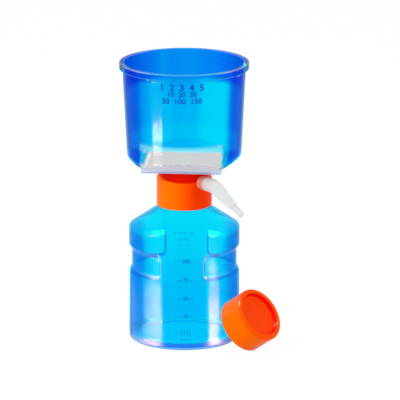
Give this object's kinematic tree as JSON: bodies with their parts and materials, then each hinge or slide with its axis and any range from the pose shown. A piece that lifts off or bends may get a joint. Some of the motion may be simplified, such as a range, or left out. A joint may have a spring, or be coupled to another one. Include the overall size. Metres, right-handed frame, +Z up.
{
  "type": "vacuum filtration unit",
  "caption": "Clear bench-top vacuum filter unit: open funnel on a square membrane tray, screw collar with angled hose connector, receiver bottle with hand grips, and its cap leaning on it.",
  "frame": {"origin": "centre of the bottle's standing face, on the axis of bottle, collar and funnel", "axes": "+Z up along the bottle's axis, +X to the right and -Y towards the front, between the two hand grips"},
  "size_m": [0.1302, 0.1169, 0.23],
  "materials": {
    "blue_clear": "clear tinted, glossy",
    "clear": "clear, glossy",
    "orange": "opaque, satin gloss",
    "milky": "translucent, soft gloss",
    "membrane_white": "matt",
    "seal_rubber": "matt"
  },
  "bodies": {
    "receiver": {"bottle": "blue_clear", "cap": "orange"},
    "seal": {"neck_seal": "seal_rubber"},
    "filter_head": {"funnel": "blue_clear", "membrane": "membrane_white", "filter_base": "clear", "collar": "orange"},
    "connector": {"hose_connector": "milky"}
  },
  "joints": [
    {"name": "head_lift", "type": "slide", "parent": "receiver", "child": "seal", "axis": [0, 0, 1], "range_m": [0, 0.008]},
    {"name": "head_turn", "type": "hinge", "parent": "seal", "child": "filter_head", "pos_m": [0, 0, 0.1099], "axis": [0, 0, 1], "range_deg": [0, 480]},
    {"name": "connector_swivel", "type": "hinge", "parent": "filter_head", "child": "connector", "pos_m": [0.01847, -0.02364, 0.134], "axis": [0.6157, -0.788, 0], "range_deg": [-115, 65]}
  ],
  "couplings": [
    {"joint": "head_lift", "follows": "head_turn", "m_per_rad": 0.00095493}
  ]
}
